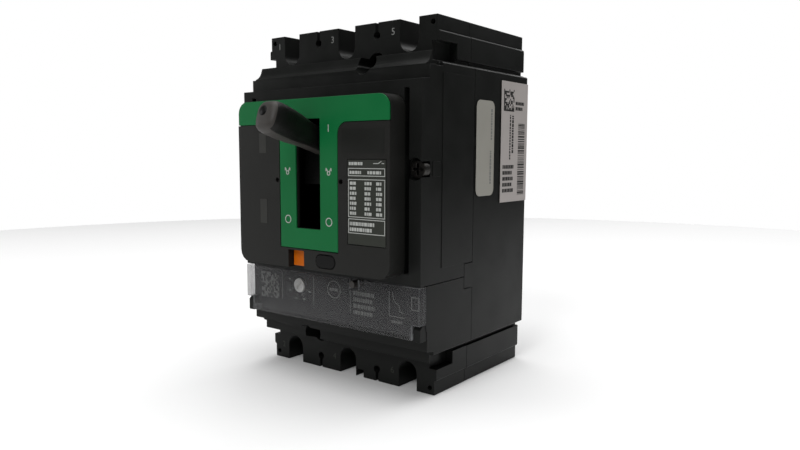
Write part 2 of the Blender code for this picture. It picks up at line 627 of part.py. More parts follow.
def contact_set():
    """Common shaft, three rotors and three bridging contacts."""
    shaft = rod("shaft_body", 4.0, (-47, *ROTOR), (47, *ROTOR), 24)
    make("contact_shaft", shaft, STEEL_METAL, (0, *ROTOR))
    for number, pole in enumerate(POLES, 1):
        half = 8.0 if pole == 0 else 9.0
        rotor = rod(f"rotor_disc_{number}", ROTOR_R, (pole - half, *ROTOR), (pole + half, *ROTOR), 32)
        slot = turned_bar(f"rotor_slot_{number}", pole, 2.9, 14, 2.4)
        core = rod(f"rotor_core_{number}", 6.9, (pole - 2.9, *ROTOR), (pole + 2.9, *ROTOR), 24)
        bore = rod(f"rotor_bore_{number}", 4.3, (pole - 12, *ROTOR), (pole + 12, *ROTOR), 24)
        if pole == 0:
            for x in (-1, 1):
                join(rotor, rod(f"crank_pin_{x}", 1.5, (x * 6, *CRANK), (x * 9.3, *CRANK), 12))
        cut(rotor, slot, core, bore)
        make(f"contact_rotor_{number}", rotor, RED_MOULDING, (pole, *ROTOR))
        arm = turned_bar(f"contact_arm_{number}", pole, 2.5, 24, 2.0)
        join(arm, rod(f"contact_hub_{number}", 6.5, (pole - 2.5, *ROTOR), (pole + 2.5, *ROTOR), 24))
        cut(arm, rod(f"contact_bore_{number}", 4.3, (pole - 5, *ROTOR), (pole + 5, *ROTOR), 24))
        make(f"moving_contact_{number}", arm, COPPER_METAL, (pole, *ROTOR))


def turned_bar(name, pole, half_x, half_long, half_thick):
    """Bar through the rotor centre, leaning by the contact tilt."""
    bar = box(name, (pole - half_x, pole + half_x), (ROTOR[0] - half_thick, ROTOR[0] + half_thick),
              (ROTOR[1] - half_long, ROTOR[1] + half_long))
    bar.rotation_euler = (-CONTACT_TILT, 0, 0)
    return bar


def conductors():
    """Fixed current path of each pole, with its terminal screws."""
    line_path = [(-22, 80.0), (-22, 50), (-8.5, 50), (-8.5, 20), (-13.8, 20), (-13.8, 33)]
    load_path = [(-22, -80.0), (-22, -55.3), (-42.5, -55.3), (-42.5, -34), (-30.1, -34), (-30.1, -11)]
    for number, pole in enumerate(POLES):
        for side, path, label in ((1, line_path, f"line_terminal_{2 * number + 1}"),
                                  (-1, load_path, f"load_terminal_{2 * number + 2}")):
            strip = slab(label + "_strip", ribbon(path, 3.0), "X", pole - 8, pole + 8)
            z = side * 74.0
            cut(strip, rod(label + "_hole", 4.1, (pole, -30, z), (pole, -10, z), 20))
            make(label, strip, TINNED, (pole, -23.5, z))
            terminal_screw(label.replace("terminal", "screw"), pole, z)


def terminal_screw(name, pole, z):
    """Socket-head clamping screw of one terminal."""
    head = rod(name + "_head", 5.4, (pole, -31.5, z), (pole, -23.8, z), 20)
    join(head, rod(name + "_thread", 3.7, (pole, -24.5, z), (pole, -13.0, z), 14))
    cut(head, rod(name + "_socket", 3.0, (pole, -35, z), (pole, -27, z), 6))
    make(name, head, STEEL_METAL, (pole, -23.8, z))


def arc_chutes():
    """Stacks of splitter plates beyond both ends of each bridging contact."""
    for number, pole in enumerate(POLES, 1):
        for label, y, z in (("upper", (-39.6, -25.6), (32, 55.5)), ("lower", (-25.8, -5.8), (-50, -26))):
            name = f"arc_chute_{label}_{number}"
            stack = box(name + "_stack", (pole - 12, pole + 12), y, z)
            count = round((y[1] - y[0]) / 3.3)
            pitch = (y[1] - y[0] - 1.2) / count
            for i in range(count):
                low = y[0] + 1.2 + i * pitch
                gap = box(f"{name}_gap_{i}", (pole - 10.8, pole + 10.8), (low, low + pitch - 1.2),
                          (z[0] - 2, z[1] + 2))
                cut(stack, gap)
            make(name, stack, FIBRE_BOARD)


def trip_parts():
    """Bimetals and magnet yokes of the three poles, and the common trip bar."""
    for number, pole in enumerate(POLES, 1):
        path = [(-44.4, -56.2), (-56.0, -56.2), (-56.0, -40)]
        strip = slab(f"bimetal_strip_{number}", ribbon(path, 1.2), "X", pole - 4, pole + 4)
        make(f"bimetal_{number}", strip, BRASS_METAL)
        yoke = box(f"yoke_block_{number}", (pole - 11, pole + 11), (-47.0, -37.4), (-50, -38))
        cut(yoke, box(f"yoke_channel_{number}", (pole - 8.5, pole + 8.5), (-55, -40.2), (-55, -30)))
        make(f"magnet_yoke_{number}", yoke, STEEL_METAL)
    bar = rod("bar_body", 2.6, (-46, *TRIP_BAR), (46, *TRIP_BAR), 16)
    join(bar, rod("bar_ends", 1.5, (-50.4, *TRIP_BAR), (50.4, *TRIP_BAR), 12),
         box("bar_arm", (BUTTON[0] - 2.3, BUTTON[0] + 2.3), (-62.2, -60.2), (-36, -20.4)))
    for number, pole in enumerate(POLES, 1):
        join(bar, box(f"bar_finger_{number}", (pole - 2, pole + 2), (-61, -59), (-48, -36)))
    make("trip_bar", bar, BLACK, (0, *TRIP_BAR))


def build():
    rear_case()
    main_cover()
    accessory_cover()
    green_overlay()
    small_fixed_pieces()
    trip_unit_case()
    clear_trip_cover()
    current_dial()
    push_to_trip()
    toggle_handle()
    handle_yoke()
    mechanism_plates()
    linkage()
    main_springs()
    contact_set()
    conductors()
    arc_chutes()
    trip_parts()


build()
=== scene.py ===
"""Looks of a three-pole moulded-case circuit breaker: finishes, fine edges, print, springs and stage."""
import json
import math
import random

import bmesh
import bpy
from bpy.props import FloatProperty, IntProperty, PointerProperty, StringProperty
from mathutils import Matrix, Vector
from mathutils.geometry import intersect_point_line


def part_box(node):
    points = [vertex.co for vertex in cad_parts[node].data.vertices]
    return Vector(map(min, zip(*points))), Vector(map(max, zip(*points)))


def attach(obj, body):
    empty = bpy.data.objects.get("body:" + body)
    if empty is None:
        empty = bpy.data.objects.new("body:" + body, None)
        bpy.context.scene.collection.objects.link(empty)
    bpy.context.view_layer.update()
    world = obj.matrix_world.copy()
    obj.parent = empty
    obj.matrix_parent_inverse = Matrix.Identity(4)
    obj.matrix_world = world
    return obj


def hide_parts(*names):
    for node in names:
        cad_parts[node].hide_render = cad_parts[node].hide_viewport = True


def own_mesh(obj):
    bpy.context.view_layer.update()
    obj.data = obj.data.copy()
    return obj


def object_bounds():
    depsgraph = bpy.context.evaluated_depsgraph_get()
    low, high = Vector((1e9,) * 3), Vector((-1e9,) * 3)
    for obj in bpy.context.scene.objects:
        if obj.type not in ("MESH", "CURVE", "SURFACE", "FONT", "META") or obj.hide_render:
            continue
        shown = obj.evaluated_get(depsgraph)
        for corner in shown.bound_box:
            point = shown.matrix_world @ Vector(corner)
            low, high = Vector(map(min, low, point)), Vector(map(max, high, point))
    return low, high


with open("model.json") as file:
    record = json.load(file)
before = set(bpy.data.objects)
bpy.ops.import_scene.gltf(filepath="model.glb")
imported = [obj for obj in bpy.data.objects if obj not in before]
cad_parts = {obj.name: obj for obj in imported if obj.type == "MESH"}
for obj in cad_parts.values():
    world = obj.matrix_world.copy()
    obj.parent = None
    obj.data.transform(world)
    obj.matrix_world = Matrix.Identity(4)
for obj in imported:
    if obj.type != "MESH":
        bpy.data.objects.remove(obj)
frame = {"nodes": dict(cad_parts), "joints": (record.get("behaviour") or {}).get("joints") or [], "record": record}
CAD_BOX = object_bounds()

bl_info = {
    "name": "Moulded-Case Breaker Looks",
    "version": (1, 0, 0),
    "blender": (4, 5, 0),
    "location": "3D View > Sidebar > Breaker",
    "description": "Finishes a three-pole moulded-case circuit breaker and sets its studio stage",
    "category": "Object",
}

MM = 0.001
NODE_BODY = {node: body for body, nodes in frame["record"]["behaviour"]["bodies"].items() for node in nodes}

# Planes of the object's faces, in millimetres.
NOSE_FACE_Y = -101.0
TRIP_FACE_Y = -86.0
TRIP_LOW_FACE_Y = -85.3
BLOCK_PRINT_Y = -74.8
LABEL_PRINT_X = 53.13
BODY_FLANK_X, BODY_END_Z = 52.5, 61.0
BAND_FLANK_X, BAND_END_Z = 50.3, 74.2
FILM_LOW_Z, FILM_TOP_Z = -53.0, -30.0


# ---------------------------------------------------------------- small tools

def srgb(code):
    """Linear colour of an sRGB hex value such as 2a2a2c."""
    channels = [int(code[i:i + 2], 16) / 255 for i in (0, 2, 4)]
    linear = [c / 12.92 if c <= 0.04045 else ((c + 0.055) / 1.055) ** 2.4 for c in channels]
    return (*linear, 1.0)


def add(tree, kind, links=None, **settings):
    """Add a shader node, set its sockets and properties, and link its inputs."""
    node = tree.nodes.new(kind)
    for key, value in settings.items():
        name = key.replace("_", " ")
        if name in node.inputs:
            node.inputs[name].default_value = value
        else:
            setattr(node, key, value)
    for name, source in (links or {}).items():
        tree.links.new(source, node.inputs[name])
    return node


def new_material(name):
    """A material with an empty tree apart from its Principled shader and output."""
    mat = bpy.data.materials.new(name)
    mat.use_nodes = True
    return mat, mat.node_tree, mat.node_tree.nodes["Principled BSDF"]


def grain(tree, size_mm, detail=2.0):
    """Noise on Object coordinates whose cells measure size_mm."""
    place = add(tree, "ShaderNodeTexCoord")
    return add(tree, "ShaderNodeTexNoise", {"Vector": place.outputs["Object"]},
               Scale=1.0 / (size_mm * MM), Detail=detail, Roughness=0.55)


def ramp(tree, source, low, high, start=0.35, end=0.65):
    """Map a noise to a band of values."""
    node = add(tree, "ShaderNodeMapRange", {"Value": source})
    node.inputs["From Min"].default_value = start
    node.inputs["From Max"].default_value = end
    node.inputs["To Min"].default_value = low
    node.inputs["To Max"].default_value = high
    return node.outputs["Result"]


def tint(tree, source, dark, light):
    """Blend two colours by a noise."""
    mix = add(tree, "ShaderNodeMix", data_type="RGBA")
    tree.links.new(source, mix.inputs["Factor"])
    for socket in mix.inputs:
        if socket.type == "RGBA" and socket.name == "A":
            socket.default_value = dark
        if socket.type == "RGBA" and socket.name == "B":
            socket.default_value = light
    return next(out for out in mix.outputs if out.type == "RGBA")


def moulded(name, dark, light, rough, grain_mm=0.35, depth_mm=0.012, mottle_mm=14.0, specular=0.5):
    """Moulded plastic: faint cloudy colour, spark-eroded grain and a slightly uneven sheen."""
    mat, tree, shader = new_material(name)
    cloud = grain(tree, mottle_mm, 3.0)
    fine = grain(tree, grain_mm, 2.0)
    tree.links.new(tint(tree, cloud.outputs["Fac"], srgb(dark), srgb(light)), shader.inputs["Base Color"])
    tree.links.new(ramp(tree, cloud.outputs["Fac"], rough - 0.05, rough + 0.06), shader.inputs["Roughness"])
    bump = add(tree, "ShaderNodeBump", {"Height": fine.outputs["Fac"]}, Strength=0.6,
               Distance=depth_mm * MM)
    tree.links.new(bump.outputs["Normal"], shader.inputs["Normal"])
    shader.inputs["IOR"].default_value = 1.5
    shader.inputs["Specular IOR Level"].default_value = specular
    return mat


def metal(name, dark, light, rough, stretch=(1.0, 1.0, 12.0), grain_mm=0.4):
    """Rolled, drawn or plated metal with fine lines along its length."""
    mat, tree, shader = new_material(name)
    place = add(tree, "ShaderNodeTexCoord")
    turn = add(tree, "ShaderNodeMapping", {"Vector": place.outputs["Object"]})
    turn.inputs["Scale"].default_value = [1.0 / s for s in stretch]
    lines = add(tree, "ShaderNodeTexNoise", {"Vector": turn.outputs["Vector"]},
                Scale=1.0 / (grain_mm * MM), Detail=3.0)
    stain = grain(tree, 6.0, 3.0)
    tree.links.new(tint(tree, stain.outputs["Fac"], srgb(dark), srgb(light)), shader.inputs["Base Color"])
    tree.links.new(ramp(tree, lines.outputs["Fac"], rough - 0.06, rough + 0.1), shader.inputs["Roughness"])
    bump = add(tree, "ShaderNodeBump", {"Height": lines.outputs["Fac"]}, Strength=0.35,
               Distance=0.01 * MM)
    tree.links.new(bump.outputs["Normal"], shader.inputs["Normal"])
    shader.inputs["Metallic"].default_value = 1.0
    return mat


def make_materials(colours):
    """Every finish on the breaker, by the name its pieces ask for."""
    finishes = {}
    # Glass-filled polyester thermoset, compression moulded: near-black, satin, with a fine orange peel.
    finishes["thermoset"] = moulded("glass_filled_thermoset", *colours.cases.split(), 0.33, specular=0.09)
    # Injection-moulded polyamide nose: charcoal, finer grain, duller than the thermoset.
    finishes["nose"] = moulded("charcoal_polyamide", *colours.nose.split(), 0.45, 0.3, 0.01, specular=0.14)
    # Dyed polycarbonate overlay: even green, smooth, mild gloss.
    finishes["green"] = moulded("green_polycarbonate", *colours.surround.split(), 0.42, 0.5, 0.006, 20.0,
                                0.12)
    # Black textured polyamide on the sides of the grip: coarse pebbles that break the highlight.
    finishes["pebbled"] = moulded("pebbled_black_polyamide", "060705", "10110f", 0.45, 0.8, 0.25, 5.0, 0.22)
    # Warm grey polyamide on the end of the grip, worn smooth by thumbs.
    finishes["grip"] = moulded("warm_grey_polyamide", "2f2d2b", "3c3936", 0.5, 0.5, 0.05, 7.0, 0.3)
    # Black polyamide of the plug, trip bar, grip mark, toggle foot and shutter: partly its own black, partly
    # painted shade, darkened so the foot and shutter in the toggle slot look shaded.
    finishes["black"] = moulded("black_polyamide", "070707", "0c0c0c", 0.42, specular=0.12)
    # Orange polyamide button.
    finishes["orange"] = moulded("orange_polyamide", *colours.button.split(), 0.45, 0.4, 0.01, 4.0, 0.15)
    # White acetal dial.
    finishes["dial"] = moulded("white_acetal", "ecedea", "f6f6f4", 0.4, 0.3, 0.005, 3.0)
    # Satin polyester film labels.
    finishes["grey_film"] = moulded("grey_polyester_film", "94928a", "a09e96", 0.5, 0.5, 0.004, 25.0, 0.3)
    finishes["white_film"] = moulded("white_polyester_film", "aaa4a1", "b5afac", 0.48, 0.5, 0.004, 25.0, 0.3)
    finishes["dark_film"] = moulded("dark_grey_film", "2b2d29", "32342f", 0.4, 0.5, 0.004, 25.0, 0.12)
    finishes["smoke_film"] = moulded("smoke_grey_film", "262624", "2f2f2c", 0.4, 0.5, 0.004, 25.0, 0.2)
    finishes["trip_film"] = moulded("dark_grey_trip_film", "343435", "3a3a3b", 0.45, 0.5, 0.004, 25.0, 0.12)
    finishes["black_film"] = moulded("black_film", "161715", "1b1c1a", 0.42, 0.5, 0.004, 25.0, 0.15)
    # Screen-printed inks.
    finishes["white_ink"] = moulded("white_screen_ink", "9c9e9b", "abada9", 0.55, 0.2, 0.004, 2.0, 0.3)
    finishes["grey_ink"] = moulded("grey_screen_ink", "6f706e", "7d7e7c", 0.6, 0.2, 0.004, 2.0, 0.3)
    finishes["pale_ink"] = moulded("pale_grey_screen_ink", "989997", "a8a9a6", 0.6, 0.2, 0.004, 2.0, 0.3)
    finishes["black_ink"] = moulded("black_screen_ink", "151413", "201f1d", 0.6, 0.2, 0.004, 2.0, 0.3)
    # Red-brown glass-filled rotor resin and grey-brown vulcanised fibre.
    finishes["rotor"] = moulded("red_brown_thermoset", "4c1f17", "5c281e", 0.5)
    finishes["fibre"] = moulded("vulcanised_fibre", "6b5b45", "7d6c54", 0.7, 0.8, 0.03, 4.0, 0.3)
    # Zinc-plated steel, tin-plated and bare copper, rolled bimetal, spring steel.
    finishes["zinc"] = metal("zinc_plated_steel", "9a9b9c", "b1b2b3", 0.34)
    finishes["screw"] = metal("blackened_screw_steel", "2c2b29", "3a3836", 0.4)
    finishes["tin"] = metal("tin_plated_copper", "8f8d86", "a19f97", 0.36)
    finishes["copper"] = metal("rolled_copper", "a85f3c", "c27a52", 0.28)
    finishes["bimetal"] = metal("rolled_bimetal", "a58a52", "bba066", 0.35)
    finishes["spring"] = metal("drawn_spring_steel", "8b8c8e", "9fa0a2", 0.3)
    # Clear polycarbonate window: hazy over its face and clear inside. Its cut edges carry a painted highlight, a
    # lighter and less clear colour that stands for light leaving them.
    finishes["clear"] = clear_plastic("clear_polycarbonate", "4b4b4c", 0.38, 0.3)
    finishes["clear_inside"] = clear_plastic("clear_polycarbonate_inside", "4b4b4c", 0.06, 0.3)
    finishes["clear_edge"] = clear_plastic("polycarbonate_cut_edge_painted_glow", "9c9ea0", 0.6, 0.25)
    return finishes


def clear_plastic(name, colour, cover, rough):
    """Clear polycarbonate: mostly see-through, a faint smoky haze and a sharp gloss."""
    mat, tree, shader = new_material(name)
    haze = grain(tree, 9.0, 2.0)
    shader.inputs["Base Color"].default_value = srgb(colour)
    tree.links.new(ramp(tree, haze.outputs["Fac"], cover - 0.02, cover + 0.03), shader.inputs["Alpha"])
    shader.inputs["Roughness"].default_value = rough
    shader.inputs["IOR"].default_value = 1.585
    shader.inputs["Specular IOR Level"].default_value = 0.2
    mat.surface_render_method = "BLENDED"
    return mat


# ---------------------------------------------------------------- mesh tools

def finish_piece(name, mesh_source, material, body, smooth_deg=35.0):
    """Turn a bmesh into a shown piece that rides on a body."""
    mesh = bpy.data.meshes.new(name)
    mesh_source.to_mesh(mesh)
    mesh_source.free()
    for mat in material if isinstance(material, (list, tuple)) else [material]:
        mesh.materials.append(mat)
    mesh.shade_smooth()
    mesh.set_sharp_from_angle(angle=math.radians(smooth_deg))
    piece = bpy.data.objects.new(name, mesh)
    bpy.context.scene.collection.objects.link(piece)
    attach(piece, body)
    return piece


def node_copy(node):
    """A CAD node's mesh with its loose triangles merged into clean flat faces."""
    shape = bmesh.new()
    shape.from_mesh(frame["nodes"][node].data)
    bmesh.ops.remove_doubles(shape, verts=shape.verts, dist=1e-6)
    bmesh.ops.dissolve_limit(shape, angle_limit=math.radians(0.4), verts=shape.verts, edges=shape.edges)
    return shape


def sharp_edges(shape, degrees, shortest_mm=0.0):
    """Edges whose faces meet at more than an angle."""
    return [edge for edge in shape.edges if len(edge.link_faces) == 2
            and edge.calc_face_angle(0.0) > math.radians(degrees)
            and edge.calc_length() > shortest_mm * MM]


def gap_between(edge, other):
    """Smallest distance from the ends of each of two edges to the other."""
    found = []
    for one, two in ((edge, other), (other, edge)):
        a, b = (vert.co for vert in one.verts)
        for vert in two.verts:
            spot, along = intersect_point_line(vert.co, a, b)
            if along < 0.0 or along > 1.0:
                spot = a if along < 0.0 else b
            found.append((vert.co - spot).length)
    return min(found)


def roomy(edge, radius_mm):
    """True if the faces beside an edge and the edges round it leave room for its radius."""
    need = 1.1 * radius_mm * MM
    near = {other for vert in edge.verts for other in vert.link_edges}
    if any(other.calc_length() < need for other in near):
        return False
    return all(gap_between(edge, other) > need for face in edge.link_faces for other in face.edges
               if other not in near)


def round_edges(shape, edges, radius_mm, segments=2):
    """Bevel edges to a radius."""
    bmesh.ops.bevel(shape, geom=edges, offset=radius_mm * MM, offset_type="OFFSET", segments=segments,
                    profile=0.5, affect="EDGES", clamp_overlap=True, material=-1)


def ledge_edges(shape):
    """Long flank edges that run front to back on top of the body and of the terminal blocks."""
    found = []
    for edge in sharp_edges(shape, 60, 5.0):
        a, b = (vert.co / MM for vert in edge.verts)
        level = abs(a.z - b.z) < 0.01 and abs(a.x - b.x) < 0.01
        body = abs(abs(a.x) - BODY_FLANK_X) < 0.1 and abs(abs(a.z) - BODY_END_Z) < 0.1
        band = abs(abs(a.x) - BAND_FLANK_X) < 0.1 and abs(abs(a.z) - BAND_END_Z) < 0.1
        if level and (body or band):
            found.append(edge)
    return found


def refine(node, material, radius_mm, segments=2, degrees=32.0, shade=35.0, ledge_mm=0.0):
    """Show a CAD node as a copy with moulded or broken edges."""
    shape = node_copy(node)
    if ledge_mm:
        round_edges(shape, ledge_edges(shape), ledge_mm, 4)
    for size in (radius_mm, radius_mm * 0.4):
        edges = [edge for edge in sharp_edges(shape, degrees) if roomy(edge, size)]
        round_edges(shape, edges, size, segments)
    piece = finish_piece(node + "_skin", shape, material, NODE_BODY[node], shade)
    normals = piece.modifiers.new("even shading", "WEIGHTED_NORMAL")
    normals.keep_sharp = True
    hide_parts(node)
    return piece


def add_block(shape, x, y, z):
    """Add a box between millimetre limits to a bmesh."""
    made = bmesh.ops.create_cube(shape, size=1.0)
    size = [MM * abs(b - a) for a, b in (x, y, z)]
    middle = [MM * (a + b) / 2 for a, b in (x, y, z)]
    bmesh.ops.scale(shape, verts=made["verts"], vec=size)
    bmesh.ops.translate(shape, verts=made["verts"], vec=middle)
    return made["verts"]


FRONT = Matrix(((1, 0, 0), (0, 0, -1), (0, 1, 0))).to_4x4()
FLANK = Matrix(((0, 0, 1), (1, 0, 0), (0, 1, 0))).to_4x4()
INK = 0.05


def ink_block(shape, low, high, z_off=0.0):
    """Thin printed rectangle in the drawing plane, from low to high, in millimetres."""
    add_block(shape, (low[0], high[0]), (low[1], high[1]), (z_off, z_off + INK))


def ink_frame(shape, low, high, line=0.3):
    """Printed outline of a rectangle."""
    ink_block(shape, low, (high[0], low[1] + line))
    ink_block(shape, (low[0], high[1] - line), high)
    ink_block(shape, (low[0], low[1] + line), (low[0] + line, high[1] - line))
    ink_block(shape, (high[0] - line, low[1] + line), (high[0], high[1] - line))


def ink_line(shape, start, end, width=0.35):
    """Printed straight line between two points."""
    a, b = Vector(start), Vector(end)
    verts = add_block(shape, (0, (b - a).length), (-width / 2, width / 2), (0, INK))
    turn = Matrix.Rotation(math.atan2(b.y - a.y, b.x - a.x), 4, "Z")
    bmesh.ops.transform(shape, matrix=Matrix.Translation((a.x * MM, a.y * MM, 0)) @ turn, verts=verts)


def ink_ring(shape, centre, radius, width=0.35):
    """Printed ring, spun from the outline of a small rectangle."""
    x, y = centre[0] * MM, centre[1] * MM
    near, far = (radius - width / 2) * MM, (radius + width / 2) * MM
    corners = [shape.verts.new((x + reach, y, height * MM)) for reach, height in
               ((near, 0), (far, 0), (far, INK), (near, INK))]
    edges = [shape.edges.new(pair) for pair in zip(corners, corners[1:] + corners[:1])]
    bmesh.ops.spin(shape, geom=corners + edges, cent=(x, y, 0), axis=(0, 0, 1), angle=2 * math.pi,
                   steps=28, use_merge=True, use_duplicate=False)


def ink_words(shape, seed, low, high, rows, fill=0.9):
    """Rows of short bars that stand for small print, the same on every run."""
    dice = random.Random(seed)
    pitch = (high[1] - low[1]) / rows
    for row in range(rows):
        base = high[1] - (row + 0.85) * pitch
        x = low[0]
        end = low[0] + (high[0] - low[0]) * (fill if row % 2 else 1.0)
        while x < end - 0.4:
            width = min(dice.uniform(0.5, 1.7), end - x)
            ink_block(shape, (x, base), (x + width, base + pitch * 0.62))
            x += width + 0.32


def ink_number(text, size_mm, centre):
    """A printed numeral as a flat mesh in the drawing plane."""
    curve = bpy.data.curves.new("numeral", "FONT")
    curve.body = text
    curve.size = size_mm * MM
    curve.align_x = "CENTER"
    curve.align_y = "CENTER"
    curve.extrude = INK / 2 * MM
    holder = bpy.data.objects.new("numeral", curve)
    bpy.context.scene.collection.objects.link(holder)
    bpy.context.view_layer.update()
    mesh = bpy.data.meshes.new_from_object(holder.evaluated_get(bpy.context.evaluated_depsgraph_get()))
    bpy.data.objects.remove(holder, do_unlink=True)
    mesh.transform(Matrix.Translation((centre[0] * MM, centre[1] * MM, INK / 2 * MM)))
    return mesh


def place_print(name, shape, plane, level, material, body):
    """Lay flat print on the front (plane FRONT, level y) or the right flank (plane FLANK, level x)."""
    shift = (0, level * MM, 0) if plane is FRONT else (level * MM, 0, 0)
    bmesh.ops.remove_doubles(shape, verts=shape.verts, dist=1e-7)
    bmesh.ops.transform(shape, matrix=Matrix.Translation(shift) @ plane, verts=shape.verts)
    bmesh.ops.recalc_face_normals(shape, faces=shape.faces)
    finish_piece(name, shape, material, body)


# ---------------------------------------------------------------- settings

class ColourSettings(bpy.types.PropertyGroup):
    """Each holds the two sRGB hex colours that a finish's faint cloudiness runs between."""
    cases: StringProperty(name="Cases", description="Dark and light shade of the cases",
                          default="131413 1b1c1b")
    nose: StringProperty(name="Nose", description="Dark and light shade of the nose", default="191918 20201e")
    surround: StringProperty(name="Surround", description="Dark and light shade of the toggle's surround",
                             default="0a5c30 0e6435")
    button: StringProperty(name="Button", description="Dark and light shade of the trip button",
                           default="b65600 c66404")


class HousingSettings(bpy.types.PropertyGroup):
    edge: FloatProperty(name="Edge radius", description="Moulded radius on the cases' edges, in millimetres",
                        default=0.45, min=0.05, max=1.0)
    nose_edge: FloatProperty(name="Nose edge radius", description="Radius round the nose, in millimetres",
                             default=0.9, min=0.1, max=2.0)
    ledge: FloatProperty(name="Ledge radius", description="Radius on the long flank ledges, in millimetres",
                         default=0.8, min=0.1, max=1.5)
    segments: IntProperty(name="Edge segments", description="Facets across a moulded edge", default=3, min=1,
                          max=6)


class MechanismSettings(bpy.types.PropertyGroup):
    edge: FloatProperty(name="Metal edge", description="Broken edge on metal pieces, in millimetres",
                        default=0.15, min=0.02, max=0.4)
    turns: IntProperty(name="Spring turns", description="Turns of each main spring", default=16, min=4,
                       max=40)
    wire: FloatProperty(name="Spring wire", description="Wire diameter of a main spring, in millimetres",
                        default=0.8, min=0.2, max=1.5)


class StageSettings(bpy.types.PropertyGroup):
    key_power: FloatProperty(name="Key light", description="Power of the soft light at the left", default=2.5,
                             min=0.0, unit="POWER")
    fill_power: FloatProperty(name="Fill light", description="Power of the soft light right of the front",
                              default=8.0, min=0.0, unit="POWER")
    top_power: FloatProperty(name="Top light", description="Power of the overhead soft light", default=20.0,
                             min=0.0, unit="POWER")
    back_power: FloatProperty(name="Back light", description="Power of the soft light behind", default=3.5,
                              min=0.0, unit="POWER")
    lens: FloatProperty(name="Lens", description="Focal length on a 36 mm sensor, in millimetres",
                        default=31.2, min=10.0)


FINISH = {}


class BREAKER_OT_finishes(bpy.types.Operator):
    """Mix every finish that the pieces use"""
    bl_idname = "breaker.finishes"
    bl_label = "Finishes"

    def execute(self, context):
        FINISH.update(make_materials(context.scene.breaker_colours))
        return {"FINISHED"}


# ---------------------------------------------------------------- housings

class BREAKER_OT_housings(bpy.types.Operator):
    """Give the rear case, main cover and trip unit case their moulded edges and finish"""
    bl_idname = "breaker.housings"
    bl_label = "Housings"

    def execute(self, context):
        settings = context.scene.breaker_housing
        for node in ("rear_case", "main_cover", "trip_unit_case"):
            refine(node, FINISH["thermoset"], settings.edge, settings.segments, ledge_mm=settings.ledge)
        return {"FINISHED"}


class BREAKER_OT_nose(bpy.types.Operator):
    """Round the raised nose and its green surround, and add their small features"""
    bl_idname = "breaker.nose"
    bl_label = "Nose and surround"

    def execute(self, context):
        settings = context.scene.breaker_housing
        refine("accessory_cover", FINISH["nose"], settings.nose_edge * 0.5, settings.segments)
        refine("green_overlay", FINISH["green"], 0.25, 2)
        refine("rating_plate", FINISH["dark_film"], 0.05, 1)
        refine("oval_plug", FINISH["black"], 0.35, 3)
        self.panels()
        return {"FINISHED"}

    def panels(self):
        """Blank label areas of the nose, each a film a tenth of a millimetre thick."""
        for name, x, z in (("nose_panel_upper", (19.7, 42.0), (24.0, 33.6)),
                           ("nose_panel_left_upper", (-30.5, -26.0), (24.0, 33.0)),
                           ("nose_panel_left_lower", (-30.5, -26.0), (-8.0, 3.0))):
            shape = bmesh.new()
            add_block(shape, x, (NOSE_FACE_Y - 0.06, NOSE_FACE_Y + 0.1), z)
            bmesh.ops.recalc_face_normals(shape, faces=shape.faces)
            film = FINISH["smoke_film" if "left" in name else "black_film"]
            finish_piece(name, shape, film, "case")


# ---------------------------------------------------------------- print

class BREAKER_OT_nose_print(bpy.types.Operator):
    """Print the position marks on the surround and the rating table"""
    bl_idname = "breaker.nose_print"
    bl_label = "Nose print"

    def execute(self, context):
        marks = bmesh.new()
        for x in (-12.3, 12.3):
            ink_block(marks, (x - 0.2, 32.8), (x + 0.2, 35.8))
            ink_ring(marks, (x, -5.3), 1.7, 0.4)
            ink_ring(marks, (x, 15.4), 0.75, 0.4)
            for side in (-1, 1):
                ink_line(marks, (x + side * 0.55, 16.1), (x + side * 1.35, 17.6), 0.45)
                ink_line(marks, (x + side * 1.45, 17.6), (x + side * 1.5, 16.3), 0.4)
        place_print("surround_marks", marks, FRONT, NOSE_FACE_Y, FINISH["white_ink"], "case")
        table = bmesh.new()
        self.rating_table(table)
        place_print("rating_print", table, FRONT, NOSE_FACE_Y, FINISH["white_ink"], "case")
        return {"FINISHED"}

    def rating_table(self, shape):
        """Heading, three ruled boxes and seven rows in three columns."""
        left, right = 23.2, 42.5
        ink_words(shape, 11, (left + 0.4, 18.7), (31.5, 20.7), 1)
        ink_line(shape, (36.5, 19.7), (39.0, 19.7), 0.3)
        ink_line(shape, (39.0, 19.7), (40.6, 20.6), 0.3)
        ink_line(shape, (40.8, 19.7), (42.0, 19.7), 0.3)
        ink_frame(shape, (left, 14.5), (right, 17.8))
        ink_words(shape, 12, (left + 0.8, 15.1), (30.2, 17.1), 1)
        ink_words(shape, 13, (33.5, 15.1), (40.5, 17.1), 1)
        ink_frame(shape, (left, -2.4), (right, 13.3))
        for column, (low, high) in enumerate(((left + 0.9, 27.6), (32.0, 35.6), (38.0, 41.0))):
            ink_words(shape, 20 + column, (low, -1.7), (high, 12.7), 7)
        ink_frame(shape, (left, -9.1), (right, -3.0))
        ink_words(shape, 31, (left + 0.8, -8.5), (37.0, -3.8), 2)


